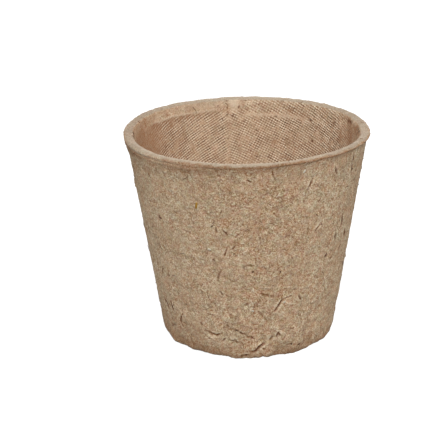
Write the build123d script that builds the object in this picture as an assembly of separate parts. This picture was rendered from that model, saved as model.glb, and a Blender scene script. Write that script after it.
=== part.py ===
from build123d import *
import math
import os

# The pot is one fibre moulding, and the only other solids are the slivers caught in its wall.
# Millimetres and degrees. +Z is up, the origin is the middle of the foot, on the floor, and -Y is the front.

# Moulding
rim_diameter = 60.0  # across the lip
pot_height = 52.0  # floor to the top of the lip
base_diameter = 42.6  # where the outer line of the wall meets the floor
wall_thickness = 1.8  # square to the wall
base_thickness = 2.2
lip_overhang = 0.8  # how far the edge of the lip stands out from the top of the wall
lip_edge_height = 1.1  # from the top of the lip to the bottom of its outer edge
lip_underside_height = 0.9  # below that edge, where the lip runs in to the wall
lip_width = 2.3  # across the top of the lip, from its outer edge to the mouth
lip_crown = 0.45  # how far the top of the lip falls to its edges
mouth_flare_height = 3.2  # below the top, where the inside starts to open out to the lip
foot_radius = 1.8  # outer corner between wall and base
heel_radius = 3.0  # inner corner between wall and base
drain_diameter = 6.0  # hole in the middle of the base

# Slivers of straw and bark that the wet pulp dried round
straw_length = 1.9
straw_width = 0.6
straw_thickness = 0.45
straw_tip = 0.5  # length of each pointed end
bark_length = 1.1
bark_width = 0.5
bark_thickness = 0.4
bark_tip = 0.2
sliver_proud = 0.12  # how far a sliver stands out of the wall
# Each place is degrees round from the front, how far up the wall from floor to lip, and degrees of lean.
straw_places = [(-25, 0.82, 12), (128, 0.55, 35), (-146, 0.30, -60)]
bark_places = [
    (-50, 0.71, -40),
    (47, 0.51, 30),
    (75, 0.38, 15),
    (105, 0.77, 55),
    (-170, 0.67, 20),
    (-104, 0.45, -75),
]

rim_radius = rim_diameter / 2
base_radius = base_diameter / 2
drain_radius = drain_diameter / 2
neck_height = pot_height - lip_edge_height - lip_underside_height
neck_radius = rim_radius - lip_overhang
wall_angle = math.atan2(neck_radius - base_radius, neck_height)
wall_across = wall_thickness / math.cos(wall_angle)  # the wall's thickness measured level
fillet_share = 0.45  # most of a straight stretch that the rounding at one end may use


def outer_radius(height):
    """Radius of the wall's outer line at a height."""
    return base_radius + height * math.tan(wall_angle)


def inner_radius(height):
    """Radius of the wall's inner line at a height."""
    return outer_radius(height) - wall_across


def section_point(radius, height):
    """Point of the pot's section, which is drawn in the XZ plane."""
    return Vector(radius, 0, height)


def rounded(section, before, corner, after, radius):
    """The section with one corner rounded, limited by the straight sides that meet there."""
    arriving = corner - before
    leaving = after - corner
    half_turn = math.radians(arriving.get_angle(leaving)) / 2
    limit = fillet_share * min(arriving.length, leaving.length) / math.tan(half_turn)
    vertex = section.vertices().sort_by_distance(corner)[0]
    return section.fillet_2d(min(radius, limit), [vertex])


def moulded_shell():
    """The wall, lip and base as one solid, turned from one section."""
    shoulder_height = pot_height - mouth_flare_height
    crown_height = pot_height - lip_crown
    mouth = section_point(rim_radius - lip_width, crown_height)
    shoulder = section_point(inner_radius(shoulder_height), shoulder_height)
    heel = section_point(inner_radius(base_thickness), base_thickness)
    drain_top = section_point(drain_radius, base_thickness)
    drain_bottom = section_point(drain_radius, 0)
    foot = section_point(base_radius, 0)
    neck = section_point(neck_radius, neck_height)
    lip_bottom = section_point(rim_radius, pot_height - lip_edge_height)
    lip_edge = section_point(rim_radius, crown_height)
    lip_top = section_point(rim_radius - lip_width / 2, pot_height)
    sides = Polyline(mouth, shoulder, heel, drain_top, drain_bottom, foot, neck, lip_bottom, lip_edge)
    crown = ThreePointArc(lip_edge, lip_top, mouth)
    section = make_face([sides, crown]).face()
    section = rounded(section, shoulder, heel, drain_top, heel_radius)
    section = rounded(section, drain_bottom, foot, neck, foot_radius)
    return revolve(section, Axis.Z)


def sliver(place, length, width, thickness, tip):
    """One flat sliver with pointed ends, sunk in the outer wall and a little proud of it."""
    azimuth, rise, lean = place
    height = rise * neck_height
    turn = math.radians(azimuth)
    outward = Vector(math.sin(turn), -math.cos(turn), 0)
    along = Vector(math.cos(turn), math.sin(turn), 0)
    up = Vector(0, 0, 1)
    seat = outward * outer_radius(height) + up * height
    normal = outward * math.cos(wall_angle) - up * math.sin(wall_angle)
    slope = outward * math.sin(wall_angle) + up * math.cos(wall_angle)
    grain = slope * math.cos(math.radians(lean)) + along * math.sin(math.radians(lean))
    bottom = Plane(origin=seat - normal * (thickness - sliver_proud), x_dir=grain, z_dir=normal)
    half_body = length / 2 - tip
    outline = make_face(
        Polyline(
            (-length / 2, 0),
            (-half_body, -width / 2),
            (half_body, -width / 2),
            (length / 2, 0),
            (half_body, width / 2),
            (-half_body, width / 2),
            close=True,
        )
    )
    return extrude(bottom * outline, amount=thickness)


straw = [sliver(place, straw_length, straw_width, straw_thickness, straw_tip) for place in straw_places]
bark = [sliver(place, bark_length, bark_width, bark_thickness, bark_tip) for place in bark_places]
pot = moulded_shell()
for piece in straw + bark:
    pot -= piece  # the pulp closes round each sliver, so its pocket is the sliver's own shape

os.makedirs("parts", exist_ok=True)
export_step(pot, "parts/pot_moulding.step")
export_step(Compound(children=straw), "parts/straw_slivers.step")
export_step(Compound(children=bark), "parts/bark_slivers.step")
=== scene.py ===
"""Peat pot: the felted pulp, wire-cloth imprint, creases and stray fibres of a one-piece moulding."""

import itertools
import math
from functools import partial

import bpy
import numpy as np
from bpy.props import FloatProperty, FloatVectorProperty, IntProperty, PointerProperty
from mathutils import Matrix, Vector


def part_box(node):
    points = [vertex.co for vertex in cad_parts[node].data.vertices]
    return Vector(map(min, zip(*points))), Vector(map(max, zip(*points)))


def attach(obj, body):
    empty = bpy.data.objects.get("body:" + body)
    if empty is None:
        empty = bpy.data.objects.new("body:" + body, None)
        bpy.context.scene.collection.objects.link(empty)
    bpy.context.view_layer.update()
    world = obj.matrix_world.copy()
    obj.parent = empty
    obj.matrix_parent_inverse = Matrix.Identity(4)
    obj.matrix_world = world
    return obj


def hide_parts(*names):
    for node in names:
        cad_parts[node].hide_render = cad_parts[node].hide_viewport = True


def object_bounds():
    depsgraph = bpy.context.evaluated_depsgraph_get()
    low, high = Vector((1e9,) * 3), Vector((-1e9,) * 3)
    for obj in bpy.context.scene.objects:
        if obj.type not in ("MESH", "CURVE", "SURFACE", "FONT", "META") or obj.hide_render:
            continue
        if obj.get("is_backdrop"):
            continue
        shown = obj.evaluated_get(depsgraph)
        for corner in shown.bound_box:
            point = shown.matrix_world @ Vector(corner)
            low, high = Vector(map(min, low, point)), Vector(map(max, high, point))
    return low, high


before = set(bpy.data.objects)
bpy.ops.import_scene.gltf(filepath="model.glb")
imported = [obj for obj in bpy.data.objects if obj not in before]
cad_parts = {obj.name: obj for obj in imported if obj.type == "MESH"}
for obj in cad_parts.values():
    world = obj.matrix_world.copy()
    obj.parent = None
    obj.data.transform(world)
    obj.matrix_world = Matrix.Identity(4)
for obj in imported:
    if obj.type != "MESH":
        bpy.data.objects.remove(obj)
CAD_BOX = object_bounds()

bl_info = {
    "name": "Peat Pot",
    "version": (1, 0, 0),
    "blender": (4, 5, 0),
    "location": "View3D > Sidebar > Peat Pot",
    "description": "Dresses the solids of a moulded peat pot",
    "category": "Object",
}

MM = 0.001
BODY = "root"
IMAGE_SIDE = 430  # pixels of the square picture
SENSOR_WIDTH = 36.0  # millimetres
FLOOR_HALF = 2.0  # metres
FLOOR_DROP = 0.02 * MM  # keeps the floor clear of the base
LIGHT_AIM = Vector((0, 0, 0.025))  # near the middle of the pot
MOULDING = "pulp_moulding"
MAP_MARGIN = 0.05  # kept free round each strand's cell of the flat map
MAP_SPAN = 1 - 2 * MAP_MARGIN
# What the moulding's material reads from its mesh
PULP_VALUES = ("proud", "hollow", "imprint", "inside", "bare_and_side_shade", "lip", "edge", "smooth")


def linear(code):
    """Linear RGB with alpha from an sRGB hex colour."""
    channels = [int(code[i : i + 2], 16) / 255 for i in (1, 3, 5)]
    return (*(c / 12.92 if c <= 0.04045 else ((c + 0.055) / 1.055) ** 2.4 for c in channels), 1.0)


def plain(name, description, default, **kind):
    """A number property."""
    return FloatProperty(name=name, description=description, default=default, **kind)


def length(name, description, millimetres):
    """A length property with its default in millimetres."""
    return plain(name, description, millimetres * MM, unit="LENGTH", precision=5)


def angle(name, description, degrees):
    """An angle property with its default in degrees."""
    return plain(name, description, math.radians(degrees), subtype="ANGLE")


def count(name, description, default):
    """A whole-number property."""
    return IntProperty(name=name, description=description, default=default, min=0)


def colour(name, description, code):
    """A colour property with its default as an sRGB hex value."""
    default = linear(code)
    return FloatVectorProperty(name=name, description=description, default=default, subtype="COLOR", size=4)


class PotSizes(bpy.types.PropertyGroup):
    """Section of the moulding. Its rim and height come from the frame."""

    base_diameter: length("Base", "Where the outer line of the wall meets the floor", 42.6)
    wall_thickness: length("Wall", "Thickness square to the wall", 1.8)
    base_thickness: length("Base thickness", "Thickness of the base", 2.2)
    lip_overhang: length("Lip overhang", "From the top of the wall out to the edge of the lip", 0.8)
    lip_edge_height: length("Lip edge", "From the top of the lip to the bottom of its edge", 1.1)
    lip_underside_height: length("Lip underside", "Height over which the lip runs in to the wall", 0.9)
    lip_width: length("Lip width", "Across the top of the lip", 2.3)
    lip_crown: length("Lip crown", "How far the top of the lip falls to its edges", 0.45)
    mouth_flare_height: length("Mouth flare", "Depth at which the inside opens out to the lip", 3.2)
    foot_radius: length("Foot radius", "Outer corner between wall and base", 1.8)
    heel_radius: length("Heel radius", "Inner corner between wall and base", 3.0)
    drain_diameter: length("Drain hole", "Hole in the middle of the base", 6.0)


class PulpSurface(bpy.types.PropertyGroup):
    """Relief of the felted pulp and of the wire cloth that it was drawn onto."""

    columns: count("Columns", "Mesh columns round the pot", 1008)
    lump_height: length("Lump height", "Height of the broad lumps outside", 0.38)
    lump_width: length("Lump width", "Width of the broad lumps outside", 8.0)
    groove_depth: length("Groove depth", "Depth of the soft grooves outside", 0.28)
    felt_height: length("Felt height", "Height of the matted fibre grain", 0.055)
    rim_wander: length("Rim wander", "How far the lip wanders from a true circle", 0.22)
    foot_wander: length("Foot wander", "How far the foot wanders from a true circle", 0.40)
    cloth_pitch_across: length("Cloth pitch across", "Spacing of the wires that run across", 0.616)
    cloth_pitch_along: length("Cloth pitch along", "Spacing of the wires that run up", 0.69)
    imprint_depth: length("Imprint depth", "Depth of the wire-cloth imprint inside", 0.11)
    seam_azimuth: angle("Seam", "Where the edges of the wire cloth met, round from the front", -170.0)
    smooth_azimuth: angle("Smooth side", "Middle of the smoother side, round from the front", -65.0)
    felt_fibres: count("Felt fibres", "Fibres pressed flat in the surface", 32000)
    felt_pores: count("Felt pores", "Dark pores between the fibres", 36000)
    pale_fibres: count("Pale fibres", "Pale fibres that lie on the surface", 260)
    brown_fibres: count("Brown fibres", "Brown fibres that lie on the surface", 160)
    seed: count("Seed", "Seed of every random draw", 7)


class SliverSizes(bpy.types.PropertyGroup):
    """Bits that were caught in the pulp."""

    straw_length: length("Straw length", "Length of a straw sliver", 1.9)
    straw_width: length("Straw width", "Width of a straw sliver", 0.6)
    straw_thickness: length("Straw thickness", "Thickness of a straw sliver", 0.45)
    bark_length: length("Bark length", "Length of a bark sliver", 1.1)
    bark_width: length("Bark width", "Width of a bark sliver", 0.5)
    bark_thickness: length("Bark thickness", "Thickness of a bark sliver", 0.4)
    proud: length("Proud", "How far a sliver stands out of the wall", 0.12)


class PulpColours(bpy.types.PropertyGroup):
    """Colours of the dry pulp and of what is caught in it."""

    dark: colour("Dark pulp", "Shadowed pores and peat", "#725338")
    brown: colour("Brown pulp", "Peaty fibre", "#947658")
    tan: colour("Tan pulp", "Mean of the pulp", "#ac9277")
    grey: colour("Grey pulp", "Bleached wood fibre", "#bca98d")
    # Also the painted highlight on the banks of creases
    pale: colour("Pale pulp", "Palest fibre ends", "#d3c6ac")
    olive: colour("Olive cast", "What is added to the greyer patches", "#002c28")
    rosy: colour("Rosy cast", "What is added to the redder patches", "#451500")
    drab: colour("Drab side", "Greyer pulp of the smooth side", "#a1937b")
    lip: colour("Lip", "Greyer pulp of the lip", "#877d71")
    # Also painted shade under the lip, at the foot and over the inside
    edge: colour("Lip edge", "Browner edge and underside of the lip", "#785133")
    inside: colour("Inside", "Redder pulp against the wire cloth", "#d2b092")
    # Also painted shade on the inner side walls
    bare_and_side_shade: colour("Bare inside", "Red-brown pulp that the wire cloth left unprinted", "#85532f")
    # Also a painted highlight on the lip's top, and partly on the imprint's ridges
    ridge: colour("Imprint ridge", "Pale ridges that stood between the wires", "#e0d0b9")
    # Partly painted shade in the imprint's hollows
    gap: colour("Imprint gap", "Brown hollows that the wires left", "#6f5541")
    # Painted shade in creases, grooves and pits
    crease: colour("Crease", "Depth of a crease", "#552b10")
    straw: colour("Straw", "Sliver of straw", "#b0842e")
    straw_edge: colour("Straw edge", "Darker edge of a straw sliver", "#7d5a22")
    bark: colour("Bark", "Sliver of bark", "#4d3222")
    bark_edge: colour("Bark edge", "Paler edge of a bark sliver", "#7d5a42")
    paper: colour("Paper", "Fleck of bleached paper", "#c4bfb2")
    peat: colour("Peat", "Crumb of black peat", "#4a3323")


class StudioSettings(bpy.types.PropertyGroup):
    """Camera and light."""

    distance: length("Distance", "From the camera to the middle of the pot", 350.0)
    elevation: angle("Elevation", "Height of the camera above level", 20.22)
    roll: angle("Roll", "Turn of the camera about its view", -1.105)
    focal_pixels: plain("Focal length", "In pixels of the picture", 1399.8)
    pot_column: plain("Pot column", "Pixel column of the middle of the pot", 247.43)
    pot_row: plain("Pot row", "Pixel row of the middle of the pot", 228.84)
    key_power: plain("Key light", "Power of the soft key light", 20.0, unit="POWER")
    back_power: plain("Back light", "Power of the soft light behind", 13.0, unit="POWER")
    sky_strength: plain("Sky", "Strength of the even light all round", 0.25)
    floor_glow: plain("Floor glow", "What lifts the floor to white for the camera", 0.89)
    floor_colour: colour("Floor", "White studio paper", "#8c8c8c")


class PeatPot(bpy.types.PropertyGroup):
    """Everything that a user would change."""

    sizes: PointerProperty(type=PotSizes)
    surface: PointerProperty(type=PulpSurface)
    slivers: PointerProperty(type=SliverSizes)
    colours: PointerProperty(type=PulpColours)
    studio: PointerProperty(type=StudioSettings)


# Creases that can be told apart on the front: depth and half width in millimetres,
# then for each point degrees round from the front and millimetres up
FRONT_CREASES = (
    (0.45, 0.20, 11, 50, 11.5, 48.9, 13, 47.7),
    (0.46, 0.22, 31.8, 47.2, 30.4, 45.7, 29.1, 44.1),
    (0.26, 0.18, 30.8, 49.2, 31.1, 48.3),
    (0.50, 0.18, 44.2, 48.5, 45.5, 47.3, 47, 46.2),
    (0.62, 0.30, 58.4, 49.0, 59.2, 48.1),
    (0.38, 0.20, 59.2, 47.4, 59.6, 45.2),
    (0.70, 0.34, 57.9, 34.3, 58.1, 31.7),
    (0.44, 0.34, 63.7, 29.5, 65.6, 28),
    (0.40, 0.28, 53.2, 31, 53.9, 28.5),
    (0.40, 0.24, 39.7, 34.8, 38, 33.9, 36.4, 33),
    (0.32, 0.22, 28, 41.8, 28, 41.1),
    (0.30, 0.20, 12.5, 39.5, 14, 38.8),
    (0.55, 0.24, -16, 35.7, -15.5, 34.6),
    (0.46, 0.22, -12.5, 35.6, -11, 34.6, -10, 33.9),
    (0.42, 0.22, -6, 33.6, -4, 34.4),
    (0.36, 0.20, -11, 30.2, -11.5, 29.3, -12.5, 28.3),
    (0.32, 0.20, -6.5, 31.2, -8, 30.4),
    (0.28, 0.18, 6, 33.6, 6.5, 32, 7, 31.1),
    (0.26, 0.26, -14.5, 24.7, -16, 23.3, -17, 21.3),
    (0.20, 0.26, -3, 25.9, 0, 26.2, 3, 26),
    (0.34, 0.30, -18.5, 27.6, -18, 26.6),
    (0.60, 0.24, 20, 16.3, 17.5, 14.6, 15, 13.3),
    (0.34, 0.20, 25, 17, 20.5, 16.6),
    (0.34, 0.20, 25.5, 18.5, 28, 18.5),
    (0.45, 0.22, 30, 16.5, 31.5, 15.4, 33.5, 15.7),
    (0.40, 0.20, -16, 18.7, -14.5, 17.8),
    (0.42, 0.30, -27.5, 7.4, -22.5, 6.7, -20, 6.6, -17, 7.2),
    (0.36, 0.24, -16.5, 5, -14.5, 5.8),
    (0.38, 0.30, -7.5, 8.3, -4.5, 7.5, -1, 6.6, 4.5, 5.6),
    (0.34, 0.30, -12.5, 5.4, -8, 5, -3.5, 4.3),
    (0.65, 0.26, 2, 2.1, 4, 2.2, 6, 2.9, 7.5, 3.5, 10, 4.1),
    (0.36, 0.20, 8.5, 3.1, 10.5, 2.7),
    (0.55, 0.24, 13.5, 5, 15, 6),
    (0.60, 0.26, 17.5, 6, 18.5, 7, 20, 6.2),
    (0.22, 0.30, 7.5, 18.2, 11, 17.8, 15, 17.3),
    (0.20, 0.26, -25.5, 11.9, -20, 12),
    (0.62, 0.22, -63, 12, -61, 11, -60, 9.4),
    (0.62, 0.24, -55.2, 12.2, -54.6, 11.2, -53.6, 9.8),
    (0.30, 0.24, -43.5, 10.4, -46.5, 8.9, -47.5, 7.7, -46.5, 6.3),
    (0.24, 0.30, -59.5, 4.9, -52.5, 6.1),
    (0.34, 0.26, -30, 9.5, -29.5, 8.6),
    (0.16, 0.22, -35, 34, -29.5, 33.4),
    (0.45, 0.24, 51.5, 23.8, 53, 24.2),
    (0.18, 0.20, -13.5, 49.2, -11.5, 48.8),
    (0.32, 0.20, 0, 48.2, 2.5, 47.5),
    (0.50, 0.26, -5.5, 1.1, 0, 1.1),
)

# Folds that stand up on the front, with height in place of depth
FRONT_FOLDS = (
    (0.22, 0.30, -0.5, 19.4, 4.5, 19.8, 9.5, 20, 13.5, 19.6, 15.5, 18.8),
    (0.20, 0.28, 22, 19.4, 25, 19.4),
    (0.18, 0.28, 26, 38, 29, 38.1, 33, 37.2),
    (0.16, 0.26, 32, 49.6, 35, 49.8, 38, 49.6),
    (0.20, 0.28, -9.5, 35.1, -7.5, 34.2),
    (0.20, 0.26, 20, 16.9, 23.5, 17),
    (0.22, 0.24, -19, 27.8, -19, 26.1),
    (0.34, 0.32, 8.5, 3.1, 12, 4.1, 14.5, 4.4),
    (0.36, 0.42, -28, 6.9, -24, 5.9, -20.5, 4.9),
    (0.18, 0.26, 33.5, 47.5, 32, 45.6),
    (0.34, 0.46, 4, 5.1, 8, 5.9),
    (0.16, 0.30, -3.5, 29.5, 0.5, 30.2, 4, 30.5),
    (0.16, 0.28, -32.5, 35, -27.5, 35.7),
    (0.18, 0.28, -8, 25.4, -5.5, 24.6),
)

# Pits at the top of the cloth's seam and where the pulp drew thin inside, in the terms of the creases
INNER_PITS = (
    (0.44, 0.22, -169.7, 51.5, -169.2, 51.3),
    (0.46, 0.26, -169.6, 49.9, -169.4, 49.6),
    (0.46, 0.24, -169.4, 48.2, -169.2, 47.9),
    (0.26, 0.22, -164.6, 50.5, -164.2, 50.2),
    (0.26, 0.22, -173, 47.9, -171.8, 47.6),
    (0.70, 0.30, 143.2, 47.9, 141.4, 47.5),
    (0.65, 0.28, 139.9, 42.8, 139.4, 42.4),
    (0.45, 0.28, 125.2, 48.4, 123.0, 49.0),
    (0.34, 0.28, 113.5, 50.3, 107.0, 50.8),
    (0.34, 0.24, -169.7, 43.4, -169.3, 43.3),
    (0.30, 0.22, -169.4, 41.9, -169.0, 41.8),
    (0.26, 0.20, -175.9, 42.9, -175.6, 42.7),
    (0.36, 0.22, 174.5, 44, 174.2, 43.8),
    (0.28, 0.20, 179.7, 41, 179.4, 40.8),
    (0.30, 0.22, -166.5, 47, -166.2, 46.8),
    (0.30, 0.22, -178.9, 46.4, -178.5, 46.2),
    (0.30, 0.24, -176, 49.9, -175.4, 49.5),
    (0.30, 0.24, 163.6, 47.8, 162.8, 47.5),
)

BACK = (75, 285)  # degrees round from the front between which creases, folds and flecks are strewn
STRAY_CREASES = 36  # how many are strewn there
STRAY_FOLDS = 14
# Height of the pulp pushed up beside a crease or a pit, as a share of its depth
CREASE_BANK = 0.22
PIT_BANK = 0.04

# Flecks of paper and crumbs of peat on the front: degrees round and millimetres up
PAPER_PLACES = ((21, 15.5), (2.5, 13.8), (-20, 30), (26.5, 49.2))
PEAT_PLACES = (
    (2.5, 24.5),
    (-7, 29.3),
    (17.5, 24),
    (65, 44.8),
    (-66, 30.3),
    (-17.5, 36.2),
    (-7.5, 8.3),
    (60, 46),
    (40, 34.5),
    (28, 3.3),
    (33.5, 2.8),
)
# Share of the loose fibres in each zone
FIBRE_ZONES = {"outside": 0.66, "lip_top": 0.08, "mouth": 0.06, "inside": 0.20}

# Where the rim dried higher or lower than its mean: degrees round, half width in degrees, millimetres
RIM_LIFTS = ((-122, 32, 0.50), (165, 45, 0.27), (30, 28, 0.27), (-50, 20, -0.15))

# Places of the slivers: degrees round from the front, share of the way up to the lip, degrees of lean
STRAW_PLACES = ((-25, 0.82, 12), (128, 0.55, 35), (-146, 0.30, -60))
BARK_PLACES = (
    (-50, 0.71, -40),
    (47, 0.51, 30),
    (75, 0.38, 15),
    (105, 0.77, 55),
    (-170, 0.67, 20),
    (-104, 0.45, -75),
)
SLIVER_REACH = 1.2  # millimetres round a sliver in which the pulp lies calm


class Section:
    """The moulding's section in millimetres, and rows of points round it with their zones."""

    SOFTENING = 4  # passes that soften the section's corners, as pulp has no sharp edge
    NECK_RADIUS = 3.0  # hollow curve in which the wall runs out to the lip

    def __init__(self, sizes):
        low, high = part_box("pot_moulding")
        self.rim = (high.x - low.x) / 2 / MM
        self.top = high.z / MM
        self.base = sizes.base_diameter / 2 / MM
        self.drain = sizes.drain_diameter / 2 / MM
        self.neck_height = self.top - (sizes.lip_edge_height + sizes.lip_underside_height) / MM
        self.neck = self.rim - sizes.lip_overhang / MM
        self.slope = (self.neck - self.base) / self.neck_height
        self.wall_angle = math.atan(self.slope)
        self.wall_across = sizes.wall_thickness / MM / math.cos(self.wall_angle)
        line, self.zone = self.rows(self.runs(sizes))
        self.radius, self.height = line.T
        along = unit(np.roll(line, -1, 0) - np.roll(line, 1, 0))
        self.normal = np.stack([along[:, 1], -along[:, 0]], 1)
        self.travel = travelled(line)

    def outer(self, height):
        """Radius of the wall's outer line."""
        return self.base + self.slope * height

    def inner(self, height):
        """Radius of the wall's inner line."""
        return self.outer(height) - self.wall_across

    def runs(self, sizes):
        """Zones in order round the section from the drain hole outwards: name, row spacing and points."""
        crown_height = self.top - sizes.lip_crown / MM
        floor_height = sizes.base_thickness / MM
        shoulder_height = self.top - sizes.mouth_flare_height / MM
        drain_bottom, foot, neck, lip_bottom, lip_edge, mouth, shoulder, heel, drain_top = np.array((
            (self.drain, 0.0),
            (self.base, 0.0),
            (self.neck, self.neck_height),
            (self.rim, self.top - sizes.lip_edge_height / MM),
            (self.rim, crown_height),
            (self.rim - sizes.lip_width / MM, crown_height),
            (self.inner(shoulder_height), shoulder_height),
            (self.inner(floor_height), floor_height),
            (self.drain, floor_height),
        ))
        foot_arc = corner_arc(drain_bottom, foot, neck, sizes.foot_radius / MM)
        neck_arc = corner_arc(foot_arc[-1], neck, lip_bottom, self.NECK_RADIUS)
        heel_arc = corner_arc(shoulder, heel, drain_top, sizes.heel_radius / MM)
        return (
            ("underside", 0.50, (drain_bottom, foot_arc[0])),
            ("foot", 0.24, foot_arc),
            ("outside", 0.17, (foot_arc[-1], neck_arc[0])),
            ("lip_underside", 0.13, (*neck_arc, lip_bottom)),
            ("lip_edge", 0.13, (lip_bottom, lip_edge)),
            ("lip_top", 0.13, crown_line(lip_edge, mouth, sizes.lip_crown / MM)),
            ("mouth", 0.15, (mouth, shoulder)),
            ("inside", 0.14, (shoulder, heel_arc[0])),
            ("heel", 0.25, heel_arc),
            ("floor", 0.45, (heel_arc[-1], drain_top)),
            ("drain", 0.30, (drain_top, drain_bottom)),
        )

    def rows(self, runs):
        """Evenly spaced points along each run, softened at the corners, and the zone of each."""
        points, zones = [], []
        for zone, spacing, run in runs:
            run = np.array(run)
            travel = travelled(run)
            steps = max(2, round(travel[-1] / spacing))
            at = np.linspace(0, travel[-1], steps, endpoint=False)
            points.append(np.stack([np.interp(at, travel, axis) for axis in run.T], 1))
            zones += [zone] * steps
        return soften(np.concatenate(points), self.SOFTENING, axes=(0,)), np.array(zones)

    def mask(self, *zones):
        """True on the rows of some zones."""
        return np.isin(self.zone, zones)

    def weight(self, blur, *zones):
        """1 on the rows of some zones and 0 elsewhere, fading over a number of rows."""
        rows = self.mask(*zones).astype(float)
        for _ in range(blur):
            rows = (np.roll(rows, 1) + rows + np.roll(rows, -1)) / 3
        return rows[:, None]

    def share(self, zone):
        """How far through a zone each row lies: 0 before it and 1 after it."""
        rows = np.flatnonzero(self.zone == zone)
        return np.clip((np.arange(len(self.zone)) - rows[0]) / (rows[-1] - rows[0]), 0, 1)[:, None]

    def seat(self, azimuth, share):
        """Point of the wall's outer line at some degrees round and a share of the way up."""
        height = share * self.neck_height
        radius = self.outer(height)
        turn = math.radians(azimuth)
        return np.array((radius * math.sin(turn), -radius * math.cos(turn), height))


def unit(vectors):
    """Vectors of length 1."""
    return vectors / np.linalg.norm(vectors, axis=-1, keepdims=True)


def travelled(line):
    """Distance along a line of points, at each point."""
    return np.concatenate([[0], np.cumsum(np.linalg.norm(np.diff(line, axis=0), axis=1))])


def corner_arc(before, corner, after, radius, steps=24):
    """Points of the arc that rounds a corner of the section."""
    back, on = unit(before - corner), unit(after - corner)
    half = math.acos(float(back @ on)) / 2
    centre = corner + unit(back + on) * radius / math.sin(half)
    start, end = (corner + side * radius / math.tan(half) - centre for side in (back, on))
    turns = np.linspace(0, math.atan2(start[0] * end[1] - start[1] * end[0], float(start @ end)), steps)
    across = start[0] * np.cos(turns) - start[1] * np.sin(turns)
    upward = start[0] * np.sin(turns) + start[1] * np.cos(turns)
    return centre + np.stack([across, upward], 1)


def crown_line(start, end, rise, peak=0.3, steps=24):
    """Points of the lip's top between two level ends, highest at a share of the way."""
    share = np.linspace(0, 1, steps)
    fall = np.where(share < peak, (peak - share) / peak, (share - peak) / (1 - peak))
    return start + share[:, None] * (end - start) + np.stack([0 * share, rise * (1 - fall**2)], 1)


def ramp(start, end, value):
    """A smooth rise from 0 at the start to 1 at the end, whichever of the two is higher."""
    share = np.clip((value - start) / (end - start), 0, 1)
    return share * share * (3 - 2 * share)


def between(value, start, full, fade, end):
    """A smooth rise from 0 at the start to 1, and a smooth fall from the fade to 0 at the end."""
    return ramp(start, full, value) * ramp(end, fade, value)


def bump(value, middle, half_width):
    """1 at a middle value, falling away to both sides."""
    return np.exp(-(((value - middle) / half_width) ** 2))


def gradient_noise(points, seed):
    """Smooth noise from about -1 to 1, with features about one unit wide."""
    rng = np.random.default_rng(seed)
    table = rng.permutation(256)
    slopes = unit(rng.normal(size=(256, 3)).astype(np.float32))
    cell = np.floor(points).astype(np.int32)
    local = (points - cell).astype(np.float32)
    fade = local**3 * (local * (local * 6 - 15) + 10)
    total = np.zeros(points.shape[:-1], np.float32)
    for corner in itertools.product((0, 1), repeat=3):
        index = np.zeros(points.shape[:-1], np.int32)
        share = np.ones(points.shape[:-1], np.float32)
        for axis in range(3):
            index = table[(index + cell[..., axis] + corner[axis]) & 255]
            share = share * (fade[..., axis] if corner[axis] else 1 - fade[..., axis])
        reach = local - np.array(corner, np.float32)
        total += share * np.einsum("...k,...k->...", slopes[index], reach)
    return total * 1.7  # brings it to about -1 to 1


def fractal_noise(points, width, octaves, seed):
    """Noise with features of a width in millimetres and finer ones on top."""
    return sum(
        gradient_noise(points / width * 2**octave, seed + octave) / 2**octave for octave in range(octaves)
    )


def soften(grid, passes, axes=(0, 1)):
    """A grid that wraps round, averaged with its neighbours."""
    for _, axis in itertools.product(range(passes), axes):
        grid = (np.roll(grid, 1, axis) + 2 * grid + np.roll(grid, -1, axis)) / 4
    return grid


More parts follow.
